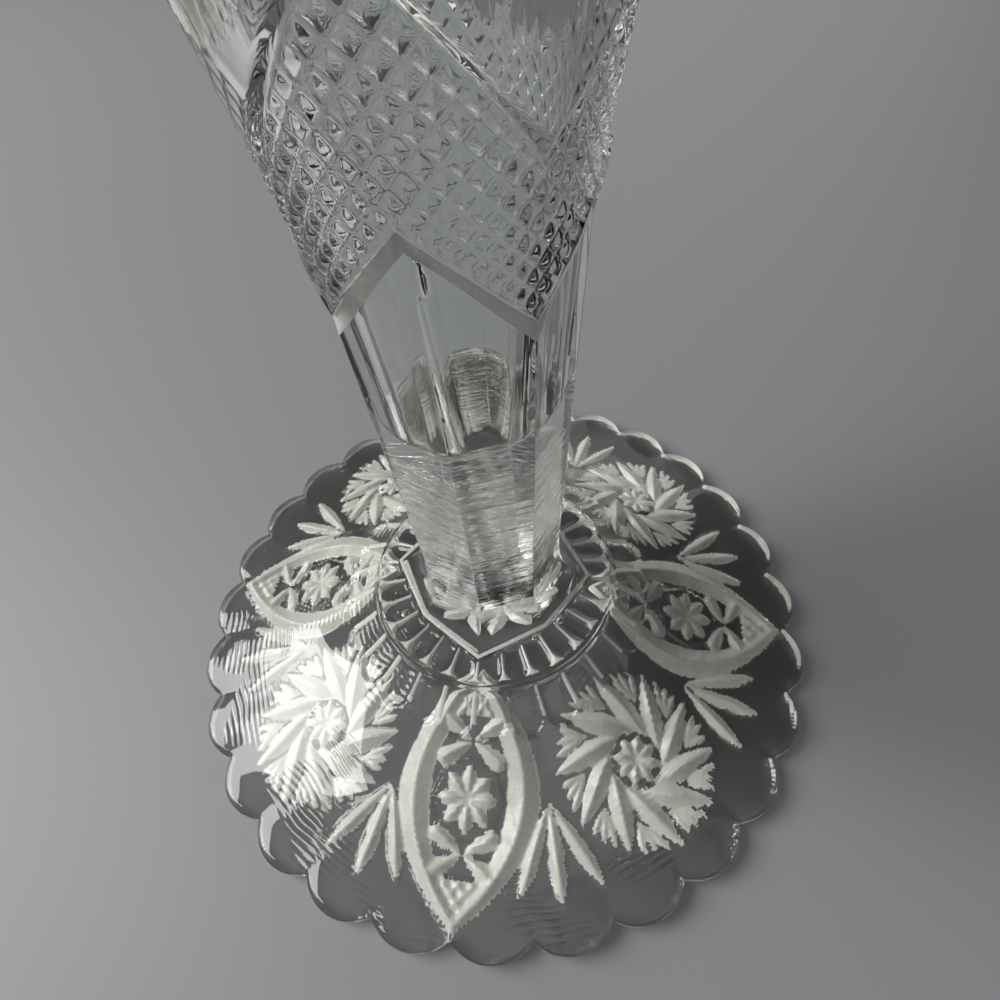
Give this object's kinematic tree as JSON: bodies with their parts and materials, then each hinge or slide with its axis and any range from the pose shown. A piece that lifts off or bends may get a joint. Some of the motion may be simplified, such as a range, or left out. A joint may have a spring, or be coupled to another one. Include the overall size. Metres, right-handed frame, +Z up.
{
  "type": "cut glass vase",
  "caption": "Tall clear glass vase: flared bowl on an octagonal stem, fused to a domed round foot with a scalloped rim and pressed pinwheels.",
  "frame": {"origin": "centre of the face that the foot rests on", "axes": "+Z up along the vase's axis; one lens panel of the foot, one notch of its rim and one corner of the stem lie along -Y"},
  "size_m": [0.1558, 0.1558, 0.305],
  "materials": {
    "foot_glass": "fire-polished top over a pattern pressed into the underside, faint grey-green tint in thick glass",
    "wafer_glass": "clear fused glass with a few round bubbles",
    "body_glass": "plain polished facets below a bright field of diamond points"
  },
  "bodies": {
    "root": {"foot": "foot_glass", "wafer": "wafer_glass", "body": "body_glass"}
  },
  "joints": []
}
